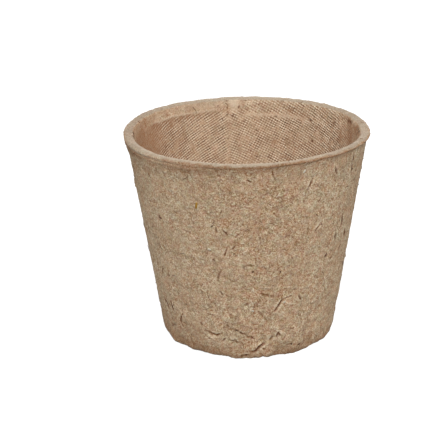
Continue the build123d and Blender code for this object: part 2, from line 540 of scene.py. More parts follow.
class Relief:
    """The moulding's mesh grid with its lumps, folds, felt and wire-cloth imprint, in millimetres.

    Values that vary only round the pot have one number for each column, and those that vary only along
    its section one for each row. Each noise has a number of its own, which is added to the seed.
    """

    LEVELLING = 16  # passes that soften the skin to the level of what lies round a point
    FULLY_PROUD = 0.1  # millimetres above that level that count as 1

    def __init__(self, pot):
        self.surface = surface = pot.surface
        self.section = section = Section(pot.sizes)
        self.columns = surface.columns
        self.seed = surface.seed
        self.azimuth = np.linspace(-math.pi, math.pi, self.columns, endpoint=False)
        self.degrees = np.degrees(self.azimuth)
        self.facing = np.cos(self.azimuth)  # 1 in front and -1 behind
        self.rightward = np.sin(self.azimuth)  # 1 on the right and -1 on the left
        self.outward = np.stack([self.rightward, -self.facing], 1)
        self.rest = self.spin(section.radius, section.height)
        self.normal = self.spin(*section.normal.T)
        self.shape = self.rest.shape[:2]
        self.across = np.hypot(self.rest[..., 0], self.rest[..., 1])
        outer_zones = ("underside", "foot", "outside", "lip_underside")
        self.outer_rows = section.mask(*outer_zones)
        self.outside = section.weight(4, *outer_zones)
        inside = section.weight(12, "inside", "heel", "floor", "drain") + 0.6 * section.weight(6, "mouth")
        self.inside = inside.clip(0, 1) * np.ones(self.shape)
        # On the left the wall flares softly to the lip, and it is smoother there and on the right
        self.flared = between(self.degrees, -135, -105, -25, -3)
        left = ramp(0.1, 0.95, np.cos(self.azimuth - surface.smooth_azimuth))
        right = ramp(0.3, 0.95, np.cos(self.azimuth + surface.smooth_azimuth))
        self.smooth = self.outside * np.maximum(left, 0.7 * right)
        # Radians round from the seam, to each side of it
        turn = (self.azimuth - surface.seam_azimuth) % math.tau
        self.left_of_seam, self.right_of_seam = turn, math.tau - turn
        printed = ramp(1.0, 0.65, self.left_of_seam) + ramp(1.7, 1.15, self.right_of_seam)
        self.printed = printed.clip(0.12, 1)
        self.hollow = np.zeros(self.shape, np.float32)
        self.bare_and_side_shade = np.zeros(self.shape, np.float32)
        self.lip, self.edge, self.imprint = self.lip_tints()
        self.fibres = self.felted_fibres()
        skin = (self.lumps() + self.grooves() + self.creases()) * self.calm_round_slivers() + self.felt()
        self.proud = self.stands_out(skin)
        self.points = self.rest + self.normal * (skin + self.cloth())[..., None]
        self.draw_up_neck()
        self.wander_rim_and_foot()
        self.rest_on_floor()

    def spin(self, radial, upright):
        """Rows of vectors turned round the axis into a grid."""
        grid = np.empty((len(radial), self.columns, 3), np.float32)
        grid[..., :2] = radial[:, None, None] * self.outward
        grid[..., 2] = upright[:, None]
        return grid

    def degrees_from(self, azimuth):
        """Degrees round from an azimuth to each column, from -180 to 180."""
        return (self.degrees - azimuth + 180) % 360 - 180

    def only_on(self, rows, values):
        """A grid with values on some rows and 0 on the others."""
        grid = np.zeros(self.shape, np.float32)
        grid[rows] = values
        return grid

    def noise(self, points, width, number, octaves=1):
        """Noise at some points, with features of a width in millimetres."""
        return fractal_noise(points, width, octaves, self.seed + number)

    def noise_on(self, rows, width, number, octaves=1):
        """Noise on some rows of the grid and 0 on the others."""
        return self.only_on(rows, self.noise(self.rest[rows], width, number, octaves))

    def lip_tints(self):
        """How grey the lip has dried; how brown its edge is, partly painted shade; the painted shade under
        it and at the foot; and the painted highlight and wear that make its top and mouth pale.
        """
        section, degrees = self.section, self.degrees
        height = self.rest[..., 2]
        below = section.top - height
        rows = section.mask("outside", "lip_underside", "lip_edge", "lip_top", "mouth")
        uneven = self.noise_on(rows, 1.6, 64) + 0.7 * self.noise_on(rows, 5.0, 74)
        top, side, mouth = (section.weight(1, zone) for zone in ("lip_top", "lip_edge", "mouth"))
        neck = section.weight(1, "outside", "lip_underside")
        wrapped = bump(degrees, -62, 20)  # where the grey runs over the edge
        border = 0.12 + 0.14 * uneven - 0.12 * bump(degrees, 0, 9) + 0.08 * bump(degrees, 20, 12)
        worn = ramp(-0.12, 0.12, section.share("lip_top") - border * (1 - wrapped))
        lip = top * worn + wrapped * side
        # The top gets a painted highlight, with some wear, strongest in front and behind, and the mouth is
        # worn paler furthest in behind on the left
        behind = ramp(0.2, 0.8, -self.facing) * ramp(-0.2, 0.2, -self.rightward)
        inward = section.share("mouth") + 0.15 * uneven - 0.3 * behind
        wear_and_highlight = 0.30 * top * worn + 0.22 * wrapped * (side + top)
        wear_and_highlight = wear_and_highlight + 0.35 * mouth * ramp(0.55, 0.05, inward)
        right = 0.3 * ramp(0.3, 0.8, self.rightward) * (1 + 0.6 * uneven)
        wear_and_highlight = wear_and_highlight * np.maximum(self.facing**2, right)
        # The lip's edge is browner, partly painted shade, and painted shade under the lip runs down furthest
        # on the left, where the wall flares softly to the lip
        edge = (0.8 * side + top * (1 - worn)) * (1 - wrapped)
        left = self.flared * (1 - 0.6 * bump(degrees, -45, 10))
        brown = np.maximum(left, 0.42 * ramp(0.5, 0.8, self.facing))
        edge = edge + brown * ramp(3.7, 2.3, below + 0.5 * uneven) * neck
        # Painted shade darkens the foot too, and reaches highest up on the left
        shaded = 0.95 * ramp(4.5, 0.8, height)
        shaded = shaded + 0.6 * ramp(14, 4, height) * ramp(0.2, 0.7, -self.rightward)
        edge = edge + shaded * section.weight(1, "underside", "foot", "outside")
        # In front the edge and what lies right under it are darker still, with more painted shade
        under = 0.3 * ramp(2.7, 1.8, below + 0.3 * uneven) * neck
        front = between(degrees, -22, -10, 45, 70)
        edge = edge.clip(0, 1) + front * (0.6 * side * (1 - wrapped) + under)
        # The last is the painted highlight and wear, which the material reads as imprint
        return lip.clip(0, 1), edge, wear_and_highlight

    def calm_round_slivers(self):
        """0 where a sliver sits, so that the pulp meets it at the wall's true line, and 1 elsewhere."""
        calm = np.ones(self.shape, np.float32)
        for azimuth, share, _ in STRAW_PLACES + BARK_PLACES:
            gap = np.linalg.norm(self.rest - self.section.seat(azimuth, share), axis=2)
            calm *= 1 - bump(gap, 0, SLIVER_REACH)
        return calm

    def lumps(self):
        """Broad lumps and dents where the pulp lay thicker, strongest outside."""
        width = self.surface.lump_width / MM
        broad = self.noise_on(slice(None), width, 10, 2)
        small = self.noise_on(slice(None), width / 3, 20, 2)
        low = ramp(24, 6, self.rest[..., 2])
        front = ramp(0.25, 0.85, self.facing)
        share = (0.25 + 0.75 * self.outside) * (1 - 0.65 * self.smooth)
        share = share * (0.8 + 1.5 * low) * (0.45 + 0.55 * front)
        height = self.surface.lump_height / MM
        return height * share * ((0.65 + 0.35 * low) * broad + (0.65 - 0.25 * low) * small)

    def grooves(self):
        """Soft grooves between the lumps of pulp, most of them low down."""
        rows = self.outer_rows
        here = self.rest[rows]
        sway = np.stack([self.noise(here, 2.6, 30 + axis) for axis in range(3)], -1)
        groove = bump(self.noise(here + 0.8 * sway, 4.4, 34), 0, 0.13)
        patch = ramp(-0.15, 0.4, self.noise(here, 5.0, 36))
        low = ramp(26, 8, here[..., 2])
        groove *= patch * (0.45 + 0.55 * low) * self.outside[rows] * (1 - 0.7 * self.smooth[rows])
        # Painted shade in the grooves
        self.hollow[rows] = np.maximum(self.hollow[rows], 0.33 * groove)
        return self.only_on(rows, -self.surface.groove_depth / MM * groove)

    def creases(self):
        """The creases and folds of the front, others like them round the back, and the pits inside."""
        rng = np.random.default_rng(self.seed + 40)
        creases = [*FRONT_CREASES, *(self.stray_line(rng) for _ in range(STRAY_CREASES))]
        folds = [*FRONT_FOLDS, *(self.stray_line(rng) for _ in range(STRAY_FOLDS))]
        wall = self.section.mask("foot", "outside", "lip_underside")
        cloth_side = self.section.mask("mouth", "inside")
        rise = self.only_on(wall, self.fold(wall, folds) + self.cut(wall, creases, CREASE_BANK))
        rise[cloth_side] = self.cut(cloth_side, INNER_PITS, PIT_BANK)
        return rise

    def stray_line(self, rng):
        """A crease or fold somewhere round the back, as a row of the tables."""
        start = np.array((rng.uniform(*BACK), rng.uniform(4, 46)))
        lean = rng.uniform(0, math.pi)
        reach = rng.uniform(1.0, 3.2)
        share = np.array((0, 0.5, 1))
        turn = lean + rng.normal(0, 0.5) * share
        points = start + (share * reach)[:, None] * np.stack([2.3 * np.cos(turn), np.sin(turn)], 1)
        return rng.uniform(0.22, 0.45), rng.uniform(0.18, 0.26), *points.ravel()

    def cut(self, rows, creases, pushed):
        """Ragged troughs along some lines, with the pulp pushed up beside them."""
        jitter, ragged = self.raggedness(rows)
        rise, hollow, raised = np.zeros((3, *jitter.shape), np.float32)
        for deep, half_width, *places in creases:
            gap, taper = self.line_distance(rows, places)
            # Towards the sides a crease gapes wider and shallower, so that the painted shade in its depth
            # still shows
            frontal = ramp(0.3, 0.85, abs(math.cos(math.radians(places[0]))))
            gape = half_width * (1.9 - 1.05 * frontal)
            whole = taper * np.maximum(ragged, ramp(0.35, 0.65, deep))  # a deep one is torn through
            trough = bump(gap + jitter, 0, half_width) * whole
            bank = bump(gap, 2.2 * half_width, 1.3 * half_width) * taper
            rise += deep * max(0.2, frontal) * (pushed * bank * ragged - 0.65 * trough)
            # hollow is painted shade in the crease or pit, and raised is a painted highlight on the
            # pushed-up bank beside it
            hollow = np.maximum(hollow, bump(gap + jitter, 0, gape) * whole * min(1, deep / 0.3))
            raised = np.maximum(raised, bank * (1 - ragged) * min(1, deep / 0.4) * pushed / CREASE_BANK)
        self.hollow[rows] = np.maximum(self.hollow[rows], hollow) - raised * (1 - hollow)
        return rise

    def fold(self, rows, folds):
        """Ridges of pulp that stand up along some lines."""
        jitter, ragged = self.raggedness(rows)
        rise = np.zeros(jitter.shape, np.float32)
        for high, half_width, *places in folds:
            gap, taper = self.line_distance(rows, places)
            rise += high * bump(gap + jitter, 0, half_width) * taper * ragged
        return rise

    def raggedness(self, rows):
        """How far a torn line strays sideways, and how whole it is."""
        here = self.rest[rows]
        return 0.12 * self.noise(here, 0.9, 41), np.clip(0.75 + 0.7 * self.noise(here, 0.7, 42), 0.15, 1)

    def line_distance(self, rows, places):
        """Distance over the wall from some rows to a line, and how much is left of the line there."""
        points = np.reshape(places, (-1, 2)).tolist()
        across, height = self.across[rows], self.rest[rows][..., 2]
        nearest, along = np.inf, 0
        for number, ((start, low), (end, high)) in enumerate(zip(points, points[1:])):
            x, y = np.radians(self.degrees_from(start)) * across, height - low
            run_x, run_y = math.radians(end - start) * across, high - low
            share = np.clip((x * run_x + y * run_y) / (run_x**2 + run_y**2), 0, 1)
            gap = np.hypot(x - share * run_x, y - share * run_y)
            along = np.where(gap < nearest, (number + share) / (len(points) - 1), along)
            nearest = np.minimum(gap, nearest)
        return nearest, 1 - 0.65 * (2 * along - 1) ** 4  # about a third is left at the ends

    def stands_out(self, skin):
        """How far each point stands out of what lies round it: 1 on a raised fibre, -1 in a pore."""
        level = soften(skin, self.LEVELLING)
        return np.clip((skin - level) / self.FULLY_PROUD + self.fibres, -1.5, 1.5)

    def strokes(self, lines, shortest, longest, number, steps=20):
        """Short curved lines strewn over the surface, each with a strength of its own."""
        rng = np.random.default_rng(self.seed + number)
        section, each = self.section, (lines, 1)
        stride = rng.uniform(shortest, longest, each) / steps
        lean = rng.uniform(0, math.tau, each) + rng.normal(0, 1.2, each) * np.linspace(0, 1, steps)
        start = rng.uniform(0, section.travel[-1], each)
        travel = (start + np.cumsum(np.sin(lean), 1) * stride) % section.travel[-1]
        rows = np.searchsorted(section.travel, travel).clip(0, len(section.travel) - 1)
        radius = np.interp(start, section.travel, section.radius)
        turn = rng.uniform(0, 1, each) + np.cumsum(np.cos(lean), 1) * stride / (math.tau * radius)
        columns = (turn * self.columns).astype(int) % self.columns
        field = np.zeros(self.shape)
        np.maximum.at(field, (rows, columns), np.broadcast_to(rng.uniform(0.3, 1.0, each), rows.shape))
        return field

    def felted_fibres(self):
        """Fibres pressed flat in the surface and pores between them: 1 along a fibre, -1 along a pore."""
        fibres = self.strokes(self.surface.felt_fibres, 0.8, 3.0, 50)
        pores = self.strokes(self.surface.felt_pores, 0.3, 1.1, 51)
        return soften(np.where(pores > fibres, -pores, fibres) - 0.2, 1)

    def felt(self):
        """Height of the matted grain, lower where the wire cloth pressed it."""
        grain = self.fibres + 0.8 * self.noise_on(slice(None), 1.0, 52, 2)
        lively = np.clip(0.95 + 0.7 * self.noise_on(slice(None), 4.5, 54, 2), 0.45, 1.5)
        return self.surface.felt_height / MM * lively * (1 - 0.6 * self.inside * self.printed) * grain

    def cloth(self):
        """Imprint of the wire cloth, which was cut flat as a sector and rolled into a cone."""
        section, surface = self.section, self.surface
        left, right = self.left_of_seam, self.right_of_seam
        right_half = right < math.pi
        well_right = ramp(0.3, 0.8, right) * right_half
        rows = section.mask("mouth", "inside", "heel")
        here = self.rest[rows]
        noise = partial(self.noise, here)
        below = section.top - here[..., 2]
        slant = (here[..., 2] + section.inner(0) / section.slope) / math.cos(section.wall_angle)
        fan = (math.pi - right) * math.sin(section.wall_angle)
        sway = 0.16 * noise(7.0, 60)
        stray = [0.09 * noise(1.3, 67 + axis) for axis in range(2)]
        along = (slant * np.cos(fan) + sway + stray[0]) / (surface.cloth_pitch_across / MM)
        across = (slant * np.sin(fan) + sway + stray[1]) / (surface.cloth_pitch_along / MM)
        along, across = np.cos(math.tau * along), np.cos(math.tau * across)
        # Ridges of pulp stand between the stronger wires, and the others bead them, most right of the seam
        weave = 0.85 * along + (0.32 + 0.14 * bump(right, 0.35, 0.25)) * across + 0.2 * along * across
        weave *= np.clip(0.9 + 0.8 * noise(1.1, 63) + 0.5 * noise(2.8, 69), 0.1, 1.5)
        weave *= 0.95 + 0.3 * ramp(0.2, 0.7, right) * right_half
        # At the seam the wires' cut ends left a ragged line
        weave *= 0.7 + 0.3 * ramp(0.0, 0.05, np.minimum(left, right) + 0.03 * stray[0])
        mottle = (0.35 * noise(0.9, 71) + 0.3 * noise(2.2, 73)) * (0.7 + 0.6 * well_right)
        # Right of its seam the cloth reached up to the lip, past a smeared ledge and a bare strip
        uneven = below + 0.3 * noise(2.5, 65)
        beyond = between(right, 0.08, 0.25, 1.3, 1.6)
        ledge = bump(uneven, 4.1, 0.6) * between(right, 0.1, 0.2, 0.5, 1.1)
        strip = between(right, 0.0, 0.035, 0.07, 0.12) * ramp(4.4, 3.4, below)
        # Left of the seam the cloth ended under a low step
        step = between(left, 0.08, 0.16, 0.8, 1.0)
        smeared = ledge + strip + bump(uneven, 2.6, 0.3) * step
        reach = section.weight(10, "inside")[rows] + section.weight(6, "mouth")[rows] * 0.8 * beyond
        worn = ramp(-0.75, 0.1, noise(9.0, 62, 2))
        pressed = reach.clip(0, 1) * self.printed * (0.7 + 0.3 * worn) * (1 - 0.9 * ledge)
        self.imprint[rows] += (weave + mottle) * pressed + 0.45 * smeared
        # What the wires missed is stained, and painted shade darkens it away from the seam
        stained = ramp(0.0, 0.6, noise(3.5, 66, 2)) * (1 - smeared.clip(0, 1)) * (0.45 + 0.3 * well_right)
        stained = stained + 0.5 * bump(below, 3.5, 0.7) * step
        # Painted shade on the inner side walls, half as strong right of the seam
        shadowed = np.minimum(ramp(0.22, 1.0, left), ramp(0.65, 1.7, right)) * (1 - 0.5 * right_half)
        shadowed = shadowed * (1 + 0.5 * noise(0.5, 76) + 0.8 * mottle)
        self.bare_and_side_shade[rows] = (self.inside[rows] ** 2 * shadowed + stained).clip(0, 1)
        # Painted shade over the inside, strongest right of the seam
        self.edge[rows] += self.inside[rows] * (0.1 + 0.36 * well_right)
        depth = surface.imprint_depth / MM
        return self.only_on(rows, depth * ((weave + 0.5 * mottle) * pressed + smeared))

    def draw_up_neck(self):
        """The neck under the lip sits high, most on the right, and is fuller on the left and in front."""
        rows = self.section.mask("outside", "lip_underside", "lip_edge")
        over = (self.section.height[rows] - self.section.neck_height)[:, None]
        high = 0.28 + 0.55 * between(self.degrees, 8, 22, 75, 100)
        self.points[rows, :, 2] += bump(over, 0.1, 1.0) * high
        filled = np.maximum(self.flared, 0.6 * between(self.degrees, -25, -3, 62, 86))
        fill = 0.5 * ramp(0.9, 0, over) * ramp(3.6, 0, -over) * filled
        self.points[rows, :, :2] += fill[..., None] * self.outward

    def wander_rim_and_foot(self):
        """The lip and the foot leave the true circle a little, as wet pulp does before it is dry."""
        section = self.section
        ring = np.pad(self.outward, ((0, 0), (0, 1)))
        height = self.rest[..., 2]
        rim_share = ramp(section.top - 6, section.top, height)
        foot_share = ramp(5, 0, height) * ramp(section.base - 7, section.base - 1, self.across)
        coarse = self.noise(ring * section.rim, 11.0, 70, 2)
        fine = self.noise(ring * section.rim, 2.4, 72, 2)
        facets = self.noise(ring * section.base, 5.0, 74, 3)
        rim, foot = self.surface.rim_wander / MM, self.surface.foot_wander / MM
        spread = rim_share * rim * (0.5 * coarse + 0.3 * fine) + foot_share * foot * facets
        self.points[..., :2] += spread[..., None] * self.outward
        lift = 0.35 * rim * (np.roll(coarse, self.columns // 9) + np.roll(fine, self.columns // 30))
        for azimuth, half_width, high in RIM_LIFTS:
            lift += high * bump(self.degrees_from(azimuth), 0, half_width)
        self.points[..., 2] += rim_share * lift

    def rest_on_floor(self):
        """Nothing reaches below the floor, and the underside lies nearly flat on it."""
        flat = self.section.weight(3, "underside") * ramp(1.0, 3.0, self.across - self.section.drain)
        self.points[..., 2] = np.maximum(self.points[..., 2] * (1 - 0.8 * flat), 0)


class Face:
    """The finished face of the moulding, read back from its mesh, in millimetres."""

    def __init__(self, pot):
        piece = bpy.data.objects.get(MOULDING)
        if piece is None:
            raise RuntimeError("The moulding has to be made first")
        self.section = Section(pot.sizes)
        points = self.read(piece.data.vertices, "co") / MM
        self.grid = np.concatenate([points, self.read(piece.data.vertex_normals, "vector")], -1)

    def read(self, values, key):
        """A vector from each point of the mesh, as a grid."""
        flat = np.empty(len(values) * 3, np.float32)
        values.foreach_get(key, flat)
        return flat.reshape(len(self.section.radius), -1, 3)

    def at(self, travel, turn):
        """Points and normals at distances round the section and turns in radians from the front."""
        rows, columns = self.grid.shape[:2]
        row = np.interp(travel, self.section.travel, np.arange(rows))
        column = (turn / math.tau + 0.5) * columns
        low_row, low_column = np.floor(row).astype(int), np.floor(column).astype(int)
        row_share, column_share = row - low_row, column - low_column
        total = 0
        for up, right in itertools.product((0, 1), repeat=2):
            share = abs(1 - up - row_share) * abs(1 - right - column_share)
            corner = self.grid[(low_row + up) % rows, (low_column + right) % columns]
            total = total + share[:, None] * corner
        return np.split(total, 2, -1)

    def travel_up(self, height):
        """Distance round the section at a height on the outer wall."""
        wall = self.section.mask("outside")
        return np.interp(height, self.section.height[wall], self.section.travel[wall])

    def travel_at(self, zone, share):
        """Distance round the section at a share of the way through a zone."""
        travel = self.section.travel[self.section.mask(zone)]
        return travel[0] + share * (travel[-1] - travel[0])


def tube(line, facing, half_width, half_thickness, sides, squareness=1.0):
    """Rings of a flattened tube along a line, in millimetres. A squareness under 1 flattens its sides."""
    along = unit(np.gradient(line, axis=0))
    across = unit(np.cross(along, facing))
    turns = np.arange(sides) / sides * math.tau
    side, rise = (np.sign(wave) * np.abs(wave) ** squareness for wave in (np.cos(turns), np.sin(turns)))
    wide = (half_width[:, None] * side)[..., None] * across[:, None]
    deep = (half_thickness[:, None] * rise)[..., None] * np.cross(across, along)[:, None]
    return line[:, None] + wide + deep


def strand_mesh(name, strands):
    """One mesh of closed tubes, each with its tone and with a cell of its own in the flat map."""
    strands = list(strands)
    cells = math.ceil(math.sqrt(len(strands)))
    points, faces, flat, tones, spreads = [], [], [], [], []
    for number, (rings, tone) in enumerate(strands):
        steps, sides = rings.shape[:2]
        first = len(points)
        points += (rings.reshape(-1, 3) * MM).tolist()
        tones += [tone] * (steps * sides)
        spreads += [math.cos(k / sides * math.tau) for k in range(sides)] * steps
        walls = [
            ((i, k), (i, k + 1), (i + 1, k + 1), (i + 1, k))
            for i, k in itertools.product(range(steps - 1), range(sides))
        ]
        ends = [[(0, k) for k in reversed(range(sides))], [(steps - 1, k) for k in range(sides)]]
        cell = np.array((number % cells, number // cells))
        for corners in walls + ends:
            faces.append([first + i * sides + k % sides for i, k in corners])
            places = np.array([(k / sides, i / (steps - 1)) for i, k in corners])
            flat += list((cell + MAP_MARGIN + MAP_SPAN * places) / cells)
    mesh = bpy.data.meshes.new(name)
    mesh.from_pydata(points, [], faces)
    return dressed(mesh, {"tone": tones, "spread": spreads}, flat)


def grid_mesh(name, points, values):
    """A closed mesh from a grid that wraps both ways, with values on its points and a flat map."""
    rows, columns = points.shape[:2]
    index = np.arange(rows * columns).reshape(rows, columns)
    right = np.roll(index, -1, 1)
    quads = np.stack([index, right, np.roll(right, -1, 0), np.roll(index, -1, 0)], -1).reshape(-1, 4)
    mesh = bpy.data.meshes.new(name)
    mesh.vertices.add(rows * columns)
    mesh.vertices.foreach_set("co", (points * MM).astype(np.float32).ravel())
    mesh.loops.add(quads.size)
    mesh.loops.foreach_set("vertex_index", quads.astype(np.int32).ravel())
    mesh.polygons.add(len(quads))
    mesh.polygons.foreach_set("loop_start", np.arange(0, quads.size, 4, dtype=np.int32))
    mesh.update(calc_edges=True)
    column, row = np.meshgrid(np.arange(columns), np.arange(rows))
    corners = ((0, 0), (1, 0), (1, 1), (0, 1))
    flat = np.stack([np.stack([(column + x) / columns, (row + y) / rows], -1) for x, y in corners], 2)
    return dressed(mesh, values, flat)


def dressed(mesh, values, flat):
    """The mesh with smooth shading, named values on its points for its material, and a flat map."""
    mesh.polygons.foreach_set("use_smooth", np.ones(len(mesh.polygons), bool))
    for key, numbers in values.items():
        layer = mesh.attributes.new(key, "FLOAT", "POINT")
        layer.data.foreach_set("value", np.asarray(numbers, np.float32).ravel())
    layer = mesh.uv_layers.new(name="OFBake")
    layer.data.foreach_set("uv", np.asarray(flat, np.float32).ravel())
    mesh.update()
    return mesh


def add_piece(name, mesh, material, slot, node=None):
    """Links a mesh as a piece of the pot that rides on its body."""
    piece = bpy.data.objects.new(name, mesh)
    bpy.context.scene.collection.objects.link(piece)
    mesh.materials.append(material)
    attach(piece, BODY)
    if node:
        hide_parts(node)


def empty_tree(owner):
    """The cleared node tree of a material or of the world."""
    owner.use_nodes = True
    owner.node_tree.nodes.clear()
    return owner.node_tree


def add_node(tree, kind, inputs=None, stops=(), **settings):
    """A shader node with its settings, its colour stops, and values or links on its input sockets.

    A link is a socket, or a node that stands for the first of its outputs in use.
    """
    made = tree.nodes.new("ShaderNode" + kind)
    for name, value in settings.items():
        setattr(made, name, value)
    for position, _ in stops[2:]:
        made.color_ramp.elements.new(position)
    for number, (position, shade) in enumerate(stops):
        made.color_ramp.elements[number].position = position
        made.color_ramp.elements[number].color = shade
    for socket, value in (inputs or {}).items():
        if isinstance(value, bpy.types.Node):
            value = next(output for output in value.outputs if output.enabled)
        if isinstance(value, bpy.types.NodeSocket):
            tree.links.new(value, made.inputs[socket])
        else:
            made.inputs[socket].default_value = value
    return made


def per_metre(millimetres):
    """Texture scale for features of a size in millimetres."""
    return 1 / (millimetres * MM)


def peat_pulp(colours):
    """Suction-moulded peat and wood pulp: felted fibre that dries dull and mottled, tan, grey and brown."""
    material = bpy.data.materials.new("suction_moulded_peat_pulp")
    node = partial(add_node, empty_tree(material))
    place = node("TexCoord").outputs["Object"]
    value = {key: node("Attribute", attribute_name=key).outputs["Fac"] for key in PULP_VALUES}
    # The tone starts from how far each point stands proud: painted shade in pores and hollows, and a painted
    # highlight on raised fibres and lumps
    tone = node("Math", {0: value["proud"], 1: 0.065}, operation="MULTIPLY")
    # Share of each in the tone, its size in millimetres, octaves and how far it swirls
    for share, size, octaves, swirl in (
        (0.56, 0.28, 0.0, 0.0),
        (0.25, 0.70, 1.0, 0.5),
        (0.19, 4.20, 2.0, 0.5),
    ):
        spots = {"Vector": place, "Scale": per_metre(size), "Detail": octaves, "Roughness": 0.6}
        spots = node("TexNoise", {**spots, "Distortion": swirl})
        tone = node("Math", {0: spots, 1: share, 2: tone}, operation="MULTIPLY_ADD")
    # The grain is livelier in some patches than in others, and a little so on the smooth sides
    patches = node("TexNoise", {"Vector": place, "Scale": per_metre(4.5), "Detail": 2.0})
    lively = node("MapRange", {0: patches, 1: 0.35, 2: 0.65, 3: 0.66, 4: 1.08})
    sides = node("MapRange", {0: value["smooth"], 3: 1.0, 4: 1.04})
    lively = node("Math", {0: lively, 1: sides}, operation="MULTIPLY")
    tone = node("Math", {0: tone, 1: 0.5}, operation="SUBTRACT")
    tone = node("Math", {0: tone, 1: lively, 2: 0.5}, operation="MULTIPLY_ADD")
    stops = (
        (0.30, colours.dark),
        (0.42, colours.brown),
        (0.50, colours.tan),
        (0.58, colours.grey),
        (0.68, colours.pale),
    )
    shade = node("ValToRGB", {"Fac": tone}, stops)
    # Some patches are greener and some redder, and single grains have a hue of their own
    casts = {"Vector": place, "Scale": per_metre(2.3), "Detail": 4.0, "Roughness": 0.8, "Distortion": 0.4}
    patches = node("MapRange", {0: node("TexNoise", casts), 1: 0.36, 2: 0.64})
    cast = node("Mix", {0: patches, 6: colours.olive, 7: colours.rosy}, data_type="RGBA")
    shade = node("Mix", {0: 1.0, 6: shade, 7: cast}, data_type="RGBA", blend_type="ADD")
    dyes = node("TexNoise", {"Vector": place, "Scale": per_metre(0.9), "Detail": 3.0, "Roughness": 0.8})
    blend = {0: 0.05, 6: shade, 7: dyes.outputs["Color"]}
    shade = node("Mix", blend, data_type="RGBA", blend_type="LINEAR_LIGHT")
    # What lies over the pulp's own colour: where it lies, how strongly, and the colour. Much of it is
    # painted light: painted shade on the inner side walls, under the lip, at the foot, in the imprint's
    # hollows and in creases, grooves and pits, and painted highlights on the lip's top, the imprint's ridges
    # and the banks of the creases
    for where, share, tint in (
        ("smooth", 0.22, colours.drab),
        ("inside", 0.35, colours.inside),
        ("bare_and_side_shade", 0.60, colours.bare_and_side_shade),
        ("lip", 0.58, colours.lip),
        ("edge", 0.50, colours.edge),
        ("imprint", 0.72, colours.ridge),
        ("imprint", -0.84, colours.gap),
        ("hollow", 0.95, colours.crease),
        ("hollow", -0.70, colours.pale),
    ):
        amount = node("Math", {0: value[where], 1: share}, operation="MULTIPLY", use_clamp=True)
        shade = node("Mix", {0: amount, 6: shade, 7: tint}, data_type="RGBA")
    finish = {
        "Base Color": shade,
        "Normal": node("Bump", {"Height": tone, "Strength": 0.35, "Distance": 0.12 * MM}),
        "Roughness": 0.95,
        "Diffuse Roughness": 0.8,
        "Specular IOR Level": 0.2,
    }
    node("OutputMaterial", {"Surface": node("BsdfPrincipled", finish)})
    return material


def streaked(name, middle, edge, streak_width, roughness):
    """A split plant fibre: streaks run its length, and its edges differ in tone from its middle."""
    material = bpy.data.materials.new(name)
    node = partial(add_node, empty_tree(material))
    tone, spread = (node("Attribute", attribute_name=key).outputs["Fac"] for key in ("tone", "spread"))
    apart = 37.0  # puts strands of different tones far apart in the noise, so that their streaks differ
    place = node("Math", {0: tone, 1: apart, 2: spread}, operation="MULTIPLY_ADD")
    grain = {"W": place, "Scale": 1 / streak_width, "Detail": 2.0, "Roughness": 0.7}
    streaks = node("TexNoise", grain, noise_dimensions="1D")
    rounding = node("Math", {0: spread, 1: spread}, operation="MULTIPLY")
    amount = node("Math", {0: rounding, 1: 0.5, 2: streaks}, operation="MULTIPLY_ADD", use_clamp=True)
    amount = node("MapRange", {0: amount, 1: 0.3, 2: 1.0})
    finish = {
        "Base Color": node("Mix", {0: amount, 6: middle, 7: edge}, data_type="RGBA"),
        "Normal": node("Bump", {"Height": streaks, "Strength": 0.5, "Distance": 0.05 * MM}),
        "Roughness": roughness,
    }
    node("OutputMaterial", {"Surface": node("BsdfPrincipled", finish)})
    return material


def studio_paper(studio):
    """Matt white studio paper: it scatters evenly, takes the pot's shadow and is white to the camera."""
    material = bpy.data.materials.new("matt_white_studio_paper")
    node = partial(add_node, empty_tree(material))
    place = node("TexCoord").outputs["Object"]
    tooth = node("TexNoise", {"Vector": place, "Scale": per_metre(0.8), "Detail": 2.0})
    relief = node("Bump", {"Height": tooth, "Strength": 0.1, "Distance": 0.05 * MM})
    sheet = node("BsdfDiffuse", {"Color": studio.floor_colour, "Roughness": 0.9, "Normal": relief})
    seen = node("LightPath").outputs["Is Camera Ray"]
    glow = node("Math", {0: seen, 1: studio.floor_glow}, operation="MULTIPLY")
    both = node("AddShader", {0: sheet, 1: node("Emission", {"Strength": glow})})
    node("OutputMaterial", {"Surface": both})
    return material


def sliver_strands(section, places, long, wide, thick, proud, seed):
    """Splinters lodged in the wall, with torn ends and a slight curl, and a tone for each."""
    rng = np.random.default_rng(seed)
    steps, sides, squareness = 15, 12, 0.45
    share = np.linspace(-1, 1, steps)
    for azimuth, rise, lean in places:
        turn, lean = math.radians(azimuth), math.radians(lean)
        outward = np.array((math.sin(turn), -math.cos(turn), 0.0))
        around = np.array((math.cos(turn), math.sin(turn), 0.0))
        slope = outward * math.sin(section.wall_angle) + np.array((0, 0, math.cos(section.wall_angle)))
        facing = np.cross(around, slope)
        grain = slope * math.cos(lean) + around * math.sin(lean)
        bow = 0.06 * wide * rng.normal() * (1 - share**2)
        sink = proud - thick / 2 - 0.05 * share**2
        line = section.seat(azimuth, rise) + np.outer(share * long / 2, grain)
        line += np.outer(bow, np.cross(grain, facing)) + np.outer(sink, facing)
        taper = np.sqrt(np.clip(1 - np.abs(share) ** 3, 0, 1)) * (1 + 0.12 * rng.normal(size=steps))
        taper = np.maximum(taper, 0.08)
        rings = tube(line, facing, wide / 2 * taper, thick / 2 * np.sqrt(taper), sides, squareness)
        yield rings, rng.random()


